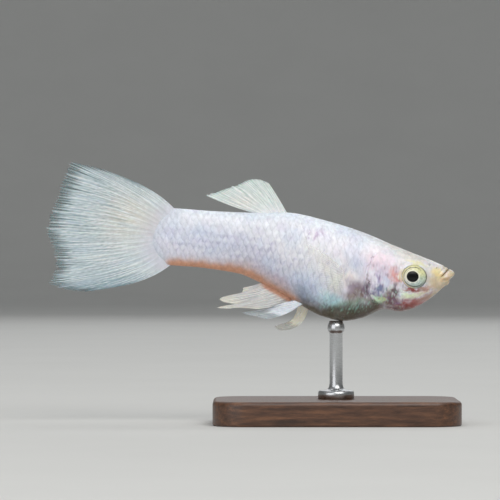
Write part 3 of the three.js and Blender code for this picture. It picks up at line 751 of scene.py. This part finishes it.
def tail_paint(share, reach, crest, points):
    fine = streaks(share, reach, 60, 2.5, 41)
    broad = streaks(share, reach, 14, 1.6, 42)
    flecks = streaks(share, reach, 70, 14, 44)
    shown = ramp(reach, 0.08, 0.34)
    gaps = ramp(-fine, 0.5, 1.4) * (1 - crest) * ramp(reach, 0.2, 0.45)
    rim = ramp(reach + 0.04 * streaks(share, reach, 60, 1.0, 43), 0.87, 1.0)
    side = np.maximum(bell(share, 0.035), bell(share - 1, 0.035)) * ramp(reach, 0.5, 0.9)
    colour = layered(
        plain((204, 215, 220), points),
        (TAIL_ROOT, 1 - ramp(reach, 0.1, 0.32)),
        ((226, 218, 200), 0.65 * bell(share - 0.36, 0.2) * bell(reach - 0.36, 0.26)),
        ((190, 213, 220), 0.6 * ramp(reach, 0.45, 0.9)),
        ((132, 168, 184), 0.8 * ramp(share, 0.66, 0.97) * ramp(reach, 0.25, 0.75)),
        ((160, 190, 198), 0.5 * (1 - ramp(share, 0, 0.2)) * ramp(reach, 0.4, 0.85)),
        ((186, 206, 222), 0.4 * ramp(broad, 0.2, 1.3) * ramp(reach, 0.1, 0.4)),
        ((238, 245, 246), 0.75 * crest * shown * (1 - 0.3 * ramp(reach, 0.6, 1))),
        ((244, 249, 250), 0.5 * ramp(fine, 0.3, 1.2) * shown),
        ((122, 146, 152), (0.4 + 0.4 * ramp(reach, 0.6, 0.95)) * gaps),
        ((120, 148, 154), 0.45 * ramp(flecks, 0.5, 1.6) * ramp(reach, 0.25, 0.6)),
        ((248, 252, 252), 0.55 * ramp(-flecks, 0.5, 1.6) * shown),
        ((62, 100, 104), 0.9 * rim * (1 - 0.55 * crest)),
        ((120, 164, 174), 0.6 * side),
    )
    cover = 0.97 - 0.14 * ramp(reach, 0.25, 0.8) * (1 - crest) - 0.55 * rim * (1 - 0.5 * crest)
    return colour, cover - 0.4 * side * (0.4 + 0.6 * ramp(-fine, -0.4, 0.6))


def tail_root(share):
    z = 3.45 - 6.57 * share
    return np.stack([edge_x(HYPURAL_EDGE, z) + 0.85, z], -1)


def dorsal_paint(share, reach, crest, points):
    fine = streaks(share, reach, 26, 1.6, 51)
    rim = ramp(reach, 0.93, 1.0)
    colour = layered(
        plain((214, 226, 223), points),
        ((243, 243, 247), 1 - ramp(reach, 0, 0.35)),
        ((236, 222, 216), 0.6 * bell(share - 0.8, 0.2) * bell(reach - 0.55, 0.25)),
        ((204, 226, 220), 0.5 * ramp(reach, 0.3, 0.9) * (1 - crest)),
        ((250, 252, 251), 0.75 * crest),
        ((252, 254, 252), 0.5 * ramp(fine, 0.3, 1.2)),
        ((176, 196, 194), 0.45 * ramp(-fine, 0.4, 1.4) * (1 - crest)),
        ((234, 244, 238), 0.7 * bell(share, 0.06) * ramp(reach, 0.1, 0.4)),
        ((176, 200, 198), 0.5 * rim),
    )
    return colour, 0.98 - 0.16 * ramp(reach, 0.3, 1) * (1 - crest) - 0.2 * rim


def dorsal_root(share):
    x = 14.35 - 3.45 * share
    return np.stack([x + 0.4 - 0.4 * share, back(x) - 0.8 + 0.62 * share], -1)


def anal_paint(share, reach, crest, points):
    fine = streaks(share, reach, 24, 1.6, 61)
    # the stripe of the belly's edge runs on over the fin's root
    under = belly(points[..., 0]) - points[..., 2]
    colour = layered(
        plain((214, 216, 218), points),
        ((222, 196, 178), 1 - ramp(reach, 0.08, 0.34)),
        ((244, 243, 238), 0.75 * crest),
        ((248, 246, 240), 0.55 * ramp(fine, 0.2, 1.2)),
        ((150, 158, 160), 0.5 * ramp(-fine, 0.3, 1.3) * (1 - crest)),
        ((240, 238, 224), 0.7 * ramp(reach, 0.72, 0.95)),
        (STALK_ORANGE, 0.85 * (1 - ramp(under, 0.15, 0.6)) * ramp(points[..., 0], 11.5, 13)),
    )
    return colour, 0.97 - 0.3 * ramp(reach, 0.25, 0.9) * (1 - crest)


def anal_root(share):
    x = 12.5 + 4 * share
    return np.stack([x + 0.5, belly(x) + 0.75], -1)


MIDDLE_FINS = {
    "tail_fin": {
        "root": tail_root,
        "bend": through([(-1.6, 5.6), (-4.7, 4.5), (-6.2, -0.1), (-4.6, -4.6), (-1.3, -5.6)]),
        "tip": through([
            (-5.6, 6.6), (-8.2, 7.3), (-10.8, 7.6), (-12.8, 7.7), (-13.2, 6.1), (-13.6, 4.4),
            (-14, 2.9), (-14.35, 1.4), (-14.7, -0.2), (-14.45, -1.6), (-13.8, -2.6),
            (-13.35, -3.8), (-13.0, -5.1), (-13.2, -6.4), (-13.3, -7.4), (-11.4, -7.8),
            (-8.8, -7.7), (-6.2, -6.95),
        ]),
        "sway": lambda share, t: 0.9 * t * t * np.sin(1.3 * (share - 0.5) * math.pi) * (0.4 + 0.6 * t),
        "paint": tail_paint, "rays": 19, "size": (560, 96), "seed": 3, "thickness": (0.5, 0.05),
        "fray": 0.035,
    },
    "dorsal_fin": {
        "root": dorsal_root,
        "bend": through([(13.1, 6.5), (11.7, 6.9), (9.9, 6.0), (8.2, 4.5)]),
        "tip": through([
            (11.55, 8.25), (10.5, 8.5), (9.3, 8.4), (7.7, 7.5), (5.9, 6.62), (4.05, 5.78)]),
        "sway": lambda share, t: 0.35 * t * t * np.sin(2.2 * share + 0.4),
        "paint": dorsal_paint, "rays": 8, "size": (240, 64), "seed": 5,
    },
    "anal_fin": {
        "root": anal_root,
        "bend": through([(11.9, -4.3), (12.2, -5.3), (13, -6.3), (14.6, -6.75)]),
        "tip": through([
            (10.0, -4.85), (9.85, -5.5), (8.5, -5.98), (7.5, -6.4), (7.6, -6.85), (9.1, -6.95),
            (8.1, -7.3), (7.1, -7.7), (8.5, -7.6), (9.8, -7.35), (12.1, -7.2),
        ]),
        "sway": lambda share, t: 0.3 * t * t * np.cos(3 * share),
        "paint": anal_paint, "rays": 8, "size": (260, 64), "seed": 9,
    },
}


def pelvic_paint(tint, end):
    """The paint of a pelvic fin with one tint, and another at its clear end."""
    def paint(share, reach, crest, points):
        ends = reach + 0.05 * streaks(share, reach, 8, 0.5, 72) + 0.1 * (share - 0.5) ** 2
        thin = ramp(ends, 0.6, 0.78)
        colour = layered(
            plain(tint, points),
            ((250, 251, 252), 0.75 * crest),
            ((252, 253, 254), 0.4 * ramp(streaks(share, reach, 12, 1.2, 71), 0.2, 1.2)),
            (end, 0.8 * thin * (1 - 0.5 * crest)),
        )
        return colour, 0.97 - 0.62 * thin * (1 - 0.45 * crest)

    return paint


PELVIC = {
    "right": {
        "root": through([(16.5, -5.6), (17.5, -5.9)]),
        "bend": through([(14.6, -6.2), (15.8, -7.6)]),
        "tip": through([
            (13.5, -6.85), (12.7, -7.3), (10.5, -7.75), (10.2, -8.0), (12.2, -8.15), (13.3, -8.3)]),
        "paint": pelvic_paint((224, 233, 244), (168, 182, 186)),
    },
    "left": {
        "root": through([(17.0, -6.0), (18.3, -6.2)]),
        "bend": through([(16.9, -8.1), (18.2, -8.6)]),
        "tip": through([(15.9, -8.4), (15.0, -8.75), (14.4, -9.15), (15.0, -9.5), (16.2, -9.3)]),
        "paint": pelvic_paint((252, 250, 226), (176, 180, 172)),
    },
}


def make_pelvic_fin(name, side):
    return make_fin(
        f"pelvic_fin_rays_{name}", **PELVIC[name], rays=5, size=(140, 52), seed=21 + side,
        sway=lambda share, t: side * (0.95 + 0.9 * t * (1 - 0.25 * share)),
        thickness=(0.32, 0.05), ridge=0.065, fray=0.05,
    )


PECTORAL = {
    "root": through([(22.5, -1.7), (22.7, -2.5), (22.6, -3.3)]),
    "bend": through([(20.0, 0.4), (19.6, -1.6), (20.4, -3.7)]),
    "tip": through([
        (17.0, 1.5), (16.9, 0.3), (17.3, -1.2), (18.1, -2.9), (19.2, -4.2), (20.5, -4.9)]),
}


def pectoral_paint(share, reach, crest, points):
    colour = layered(
        plain((250, 246, 232), points),
        ((250, 250, 246), ramp(reach, 0.4, 1)),
        ((248, 238, 206), 0.7 * crest * (1 - ramp(reach, 0.5, 1))),
    )
    lead = 0.24 * bell(share, 0.08) * (1 - 0.5 * reach)
    cover = 0.03 + 0.12 * crest * (1 - 0.3 * reach) + lead
    return colour, cover * ramp(reach, -0.02, 0.3)


def make_pectoral_fin(name, side):
    start = float(flank(22.5, -2.5)) - 0.13
    return make_fin(
        f"pectoral_fin_rays_{name}", **PECTORAL, paint=pectoral_paint, rays=11, size=(220, 52),
        sway=lambda share, t: side * (start + 1.3 * t + 0.25 * np.sin(math.pi * t)),
        seed=31 + side, thickness=(0.3, 0.04), ridge=0.05,
    )


# Eyes
PUPIL = {"x": -0.3, "z": -0.03, "radius": 0.47}


def eye_paint(spread, turn, points):
    """Colours of the eye by distance from its middle, as a share of its radius, and by angle."""
    def towards(degrees, sharp=1.0):
        """1 where the iris faces an angle, 0 on its other side."""
        return ramp(np.cos(turn - math.radians(degrees)), 0.45 - 0.6 * sharp, 0.45 + 0.5 * sharp)

    mottle = wobble(points, 0.3, 51)
    outer = ramp(spread, 0.84, 0.92) * (1 - towards(345, 0.8))
    arcs = np.maximum.reduce([
        bell(spread - 0.8, 0.035) * towards(128, 0.7),
        bell(spread - 0.84, 0.04) * towards(266, 0.8),
        bell(spread - 0.94, 0.05) * towards(5, 1.0),
    ])
    return layered(
        plain((255, 248, 226), points),
        ((240, 240, 178), 0.85 * towards(35)),
        ((214, 212, 160), 0.6 * towards(115, 0.6)),
        ((222, 234, 232), 0.85 * towards(275)),
        ((168, 198, 188), 0.55 * towards(312, 0.5)),
        ((122, 120, 84), 0.5 * ramp(mottle, 0.5, 1.5) * (0.4 + 0.6 * towards(80, 1.4))),
        ((246, 250, 246), 0.7 * ramp(-mottle, 0.4, 1.3) * (0.4 + 0.6 * towards(270))),
        ((255, 252, 238), 0.95 * bell(spread - 0.52, 0.035)),
        ((250, 238, 204), 0.9 * outer),
        ((238, 236, 170), 0.9 * outer * towards(90, 1.2)),
        ((50, 52, 46), 0.85 * arcs),
        ((4, 4, 6), 1 - ramp(spread, PUPIL["radius"] - 0.02, PUPIL["radius"] + 0.012)),
    )


def make_eye(name, side):
    """A glossy eyeball with its iris and the round lens bulging a little through the pupil."""
    rings, around = 84, 120
    lean = np.linspace(0, math.pi / 2, rings)[:, None]
    turn = np.linspace(0, FULL_TURN, around, endpoint=False)[None, :]
    share = np.sin(lean) + 0 * turn
    shift = 1 - ramp(share, PUPIL["radius"], 0.95)
    x = EYE["radius"] * EYE["wide"] * share * np.cos(turn) + PUPIL["x"] * shift
    z = EYE["radius"] * EYE["tall"] * share * np.sin(turn) + PUPIL["z"] * shift
    dome = EYE["depth"] * np.cos(lean) + 0 * turn
    front = dome + 0.035 * (1 - ramp(share, 0.36, 0.48)) - 0.03 * bell(share - 0.5, 0.03)
    front = front - 0.03 * bell(share - 0.86, 0.035)
    turned = Matrix.Rotation(side * EYE["rise"], 3, "X") @ Matrix.Rotation(-side * EYE["turn"], 3, "Z")
    middle = [EYE["x"], side * (float(flank(EYE["x"], EYE["z"])) - EYE["inset"]), EYE["z"]]
    sheets = np.stack([np.stack([x, side * out, z], -1) for out in (front, -0.35 * dome)])
    corners = sheets.reshape(-1, 3) @ np.array(turned).T + middle
    last = (rings - 1) * around + np.arange(around)
    faces = closed_sheets(grid_faces(rings, around, closed=True), last, rings * around)
    colours = eye_paint(share, np.arctan2(z, x), np.stack([x, 0 * x + 3 * side, z], -1))
    return mesh_object(
        f"eye_ball_{name}", place(corners), faces[:, ::-side], np.tile(colours.reshape(-1, 3), (2, 1)))


# Stand
BASE = {"corner": 4.0, "steps": 15, "foot": 0.25, "bevel": 0.5}


def rounded_ring(length, width, inset, z):
    """Points round a rectangle with rounded corners, drawn in by the inset."""
    corner, radius = BASE["corner"], BASE["corner"] - inset
    points = []
    for cx, cy, start in ((1, 1, 0), (-1, 1, 90), (-1, -1, 180), (1, -1, 270)):
        for a in np.radians(start + np.linspace(0, 90, BASE["steps"])):
            points.append((cx * (length / 2 - corner) + radius * math.cos(a),
                           cy * (width / 2 - corner) + radius * math.sin(a), z))
    return np.array(points)


def stacked(name, rings):
    """A closed object from rings of the same count, one over the other."""
    count, corners = len(rings[0]), np.concatenate(rings)
    faces = list(grid_faces(len(rings), count, closed=True))
    faces += [range(count)[::-1], range(len(corners) - count, len(corners))]
    return mesh_object(name, corners * MM, faces)


def make_base():
    low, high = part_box("stand_base")
    length, width, tall = ((b - a) / MM for a, b in zip(low, high))
    foot, bevel = BASE["foot"], BASE["bevel"]
    rings = [rounded_ring(length, width, foot * (1 - math.sin(a)), foot * (1 - math.cos(a)))
             for a in np.linspace(0, math.pi / 2, 7)]
    rings += [rounded_ring(length, width, bevel * (1 - math.cos(a)), tall - bevel * (1 - math.sin(a)))
              for a in np.linspace(0, math.pi / 2, 9)]
    rings.append(rounded_ring(length, width, bevel + 0.6, tall))
    return stacked("base_block", rings)


def make_rod():
    low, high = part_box("stand_rod")
    foot, top = low.z / MM - 0.3, high.z / MM
    profile = [
        (2.2, foot), (2.2, foot + 0.75), (2.12, foot + 0.95), (1.95, foot + 1.06),
        (1.2, foot + 1.12), (0.98, foot + 1.25), (0.86, foot + 1.5), (0.8, foot + 1.9),
        (0.8, top - 1.5), (0.86, top - 1.35), (1.0, top - 1.2), (1.05, top - 0.9), (1.0, top - 0.5),
        (0.8, top + 0.05),
    ]
    return stacked("rod_turned", [circle(radius, 64, z) for radius, z in profile])


# Materials
def new_material(name, **values):
    """A material with one Principled shader, whose named inputs are set."""
    made = bpy.data.materials.new(name)
    made.use_nodes = True
    shader = made.node_tree.nodes["Principled BSDF"]
    for key, value in values.items():
        shader.inputs[key.replace("_", " ").title().replace("Ior", "IOR")].default_value = value
    return made, made.node_tree, shader


def add(tree, kind, inputs, **settings):
    """A new node with its settings, and a value or a link at each of the named inputs."""
    node = tree.nodes.new(kind)
    for key, value in settings.items():
        setattr(node, key, value)
    for key, value in inputs.items():
        if isinstance(value, bpy.types.NodeSocket):
            tree.links.new(value, node.inputs[key])
        else:
            node.inputs[key].default_value = value
    return node.outputs


def noise_at(tree, scale, detail=4.0, roughness=0.55, stretch=None):
    """Noise over the object's own places, in metres."""
    where = add(tree, "ShaderNodeTexCoord", {})["Object"]
    if stretch:
        where = add(tree, "ShaderNodeMapping", {"Vector": where, "Scale": stretch})["Vector"]
    values = {"Vector": where, "Scale": scale, "Detail": detail, "Roughness": roughness}
    return add(tree, "ShaderNodeTexNoise", values)["Fac"]


def mapped(tree, value, low, high, start=0.3, end=0.7):
    """A value of a noise, stretched to run from low to high."""
    values = {"Value": value, "From Min": start, "From Max": end, "To Min": low, "To Max": high}
    return add(tree, "ShaderNodeMapRange", values)["Result"]


def bumped(tree, shader, height, distance, strength=0.5):
    values = {"Height": height, "Distance": distance, "Strength": strength}
    tree.links.new(add(tree, "ShaderNodeBump", values)["Normal"], shader.inputs["Normal"])


def shaded(tree, shader, colour, shade):
    """A colour times a shade, into the base colour."""
    product = add(tree, "ShaderNodeVectorMath", {0: colour, "Scale": shade}, operation="SCALE")
    tree.links.new(product["Vector"], shader.inputs["Base Color"])


def painted_material(name, mottling, gloss, grain, **values):
    """Shows the mesh's painted colours under fine mottling, with noise in its gloss and relief."""
    made, tree, shader = new_material(name, **values)
    paint = add(tree, "ShaderNodeAttribute", {}, attribute_name="tint")["Color"]
    scale, darkest, brightest, stretch = mottling
    mottle = noise_at(tree, scale, 3.0, 0.5, stretch)
    shaded(tree, shader, paint, mapped(tree, mottle, darkest, brightest, 0.35, 0.65))
    if gloss:
        scale, low, high = gloss
        tree.links.new(mapped(tree, noise_at(tree, scale), low, high), shader.inputs["Roughness"])
    scale, detail, distance, strength, stretch = grain
    bumped(tree, shader, noise_at(tree, scale, detail, stretch=stretch), distance, strength)
    return made, tree, shader


def skin_material():
    return painted_material(
        "pearl_skin", (2600, 0.89, 1.03, (1, 1, 0.45)), (1500, 0.3, 0.46),
        (5200, 3.0, 0.00002, 0.5, None), metallic=0.03, ior=1.38, coat_weight=0.15,
        coat_roughness=0.12, subsurface_weight=0.12, subsurface_scale=0.0006,
    )[0]


def scale_material():
    return painted_material(
        "pearl_scales", (2900, 0.87, 1.04, (1, 1, 0.42)), (1800, 0.36, 0.52),
        (6500, 2.0, 0.000015, 0.5, (1, 1, 3.5)), metallic=0.05, ior=1.4, coat_weight=0.18,
        coat_roughness=0.16, subsurface_weight=0.1, subsurface_scale=0.0004,
    )[0]


def fin_material():
    made, tree, shader = painted_material(
        "fin_veil", (2200, 0.9, 1.0, None), (1600, 0.34, 0.49), (4200, 2.0, 0.00001, 0.4, None),
        ior=1.4, coat_weight=0.25, coat_roughness=0.15, subsurface_weight=0.1,
        subsurface_scale=0.0004,
    )
    cover = add(tree, "ShaderNodeAttribute", {}, attribute_name="cover")["Fac"]
    tree.links.new(cover, shader.inputs["Alpha"])
    return made


def eye_material():
    return painted_material(
        "iris", (6000, 0.82, 1.0, None), None, (9000, 2.0, 0.000012, 0.5, None), metallic=0.05,
        roughness=0.3, ior=1.4, coat_weight=0.25, coat_roughness=0.04, specular_ior_level=0.3,
    )[0]


def walnut_material():
    made, tree, shader = new_material("walnut", ior=1.5, coat_weight=0.3, coat_roughness=0.25)
    grain = noise_at(tree, 260, 6.0, 0.6, (1, 9, 9))
    pores = noise_at(tree, 1500, 3.0, 0.6, (1, 14, 14))
    woods = tree.nodes.new("ShaderNodeValToRGB")
    stops = woods.color_ramp.elements
    stops[0].position, stops[0].color = 0.3, (*srgb(58, 36, 24), 1)
    stops[1].position, stops[1].color = 0.72, (*srgb(122, 82, 54), 1)
    stops.new(0.5).color = (*srgb(88, 57, 38), 1)
    tree.links.new(grain, woods.inputs["Fac"])
    shaded(tree, shader, woods.outputs["Color"], mapped(tree, pores, 0.72, 1.0, 0.35, 0.55))
    tree.links.new(mapped(tree, grain, 0.32, 0.5), shader.inputs["Roughness"])
    bumped(tree, shader, pores, 0.00003)
    return made


def steel_material():
    made, tree, shader = new_material("brushed_steel", metallic=1.0, ior=2.5)
    shader.inputs["Base Color"].default_value = (*srgb(196, 198, 200), 1)
    brush = noise_at(tree, 900, 4.0, 0.6, (1, 1, 30))
    tree.links.new(mapped(tree, brush, 0.2, 0.36), shader.inputs["Roughness"])
    bumped(tree, shader, brush, 0.000008, 0.35)
    return made


def stage_material():
    made, tree, shader = new_material("pale_floor", roughness=0.9)
    shaded(tree, shader, tuple(srgb(206, 206, 203)), mapped(tree, noise_at(tree, 30), 0.97, 1.0))
    return made


# Putting it together
def dress(piece, material, slot, *nodes):
    """Gives a piece its material and body, and hides the solids that it stands for; the slot is not used.
    """
    piece.data.materials.clear()
    piece.data.materials.append(material)
    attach(piece, "root")
    if nodes:
        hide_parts(*nodes)


# the solids that the one skin stands for
FLESH = ("head", "torso", "tail_stalk", "gill_cover_right", "gill_cover_left")


def make_fish():
    dress(make_skin(), skin_material(), "skin", *FLESH)
    shell = scale_material()
    for coat in make_scales():
        dress(coat, shell, "skin")
    veil = fin_material()
    for node, fin in MIDDLE_FINS.items():
        dress(make_fin(f"{node}_rays", **fin), veil, "fin", node)
    iris = eye_material()
    for name, side in (("right", -1), ("left", 1)):
        dress(make_pelvic_fin(name, side), veil, "fin", f"pelvic_fin_{name}")
        dress(make_pectoral_fin(name, side), veil, "fin", f"pectoral_fin_{name}")
        dress(make_eye(name, side), iris, "eye", f"eye_{name}")


def make_stand():
    dress(make_base(), walnut_material(), "base_wood", "stand_base")
    dress(make_rod(), steel_material(), "rod_steel", "stand_rod")


# Camera, stage and lights
IMAGE = 500  # pixels across and up the photograph
PIXEL = 0.1218 * MM  # what one of them covers at the fish
TAIL_ROOT_PIXEL = (166, 238)
CAMERA_DISTANCE = 0.45


def make_camera():
    root_x, _, root_z = place([0, 0, 0])
    across, down = (IMAGE / 2 - pixel for pixel in TAIL_ROOT_PIXEL)
    data = bpy.data.cameras.new("camera")
    data.lens = data.sensor_width * CAMERA_DISTANCE / (IMAGE * PIXEL)
    data.clip_start, data.clip_end = 0.01, 20
    camera = in_scene("camera", data)
    camera.location = (root_x + across * PIXEL, -CAMERA_DISTANCE, root_z - down * PIXEL)
    camera.rotation_euler = (math.radians(90), 0, 0)
    bpy.context.scene.camera = camera


def make_stage():
    """A floor that sweeps up into a backdrop far behind, the same on every side."""
    reach, rise, bend, around = 1.5, 1.2, 0.5, 96
    rings = [circle(reach - bend + bend * math.sin(a), around, bend * (1 - math.cos(a)))
             for a in np.linspace(0, math.pi / 2, 12)]
    rings.append(circle(reach, around, rise))
    faces = list(grid_faces(len(rings), around, closed=True)[:, ::-1])
    floor = mesh_object("floor", np.concatenate(rings), faces + [range(around)])
    floor.data.materials.append(stage_material())


LIGHT_AIM = (-0.01, 0, 0.02)
LIGHTS = {
    "key": ((0.18, -0.5, 0.5), (0.6, 0.5), 3.1, (1.0, 0.99, 0.97)),
    "fill": ((-0.4, -0.5, 0.15), (0.6, 0.5), 1.35, (0.98, 0.98, 1.0)),
    "top": ((0.0, 0.15, 0.6), (0.6, 0.5), 1.35, (1, 1, 1)),
    "back": ((0.1, 0.6, 0.3), (0.5, 0.3), 0.5, (0.97, 0.98, 1.0)),
}


def make_lights():
    for name, (spot, size, power, colour) in LIGHTS.items():
        data = bpy.data.lights.new(name, "AREA")
        data.shape, data.size, data.size_y = "RECTANGLE", size[0], size[1]
        data.energy, data.color = power, colour
        light = in_scene(name, data)
        light.location = spot
        light.rotation_euler = (Vector(LIGHT_AIM) - Vector(spot)).to_track_quat("-Z", "Y").to_euler()
    world = bpy.data.worlds.new("studio")
    world.use_nodes = True
    background = world.node_tree.nodes["Background"]
    background.inputs["Color"].default_value = (0.8, 0.83, 0.87, 1)
    background.inputs["Strength"].default_value = 0.36
    bpy.context.scene.world = world
    bpy.context.scene.view_settings.view_transform = "Standard"


make_camera()
make_fish()
make_stand()
make_stage()
make_lights()
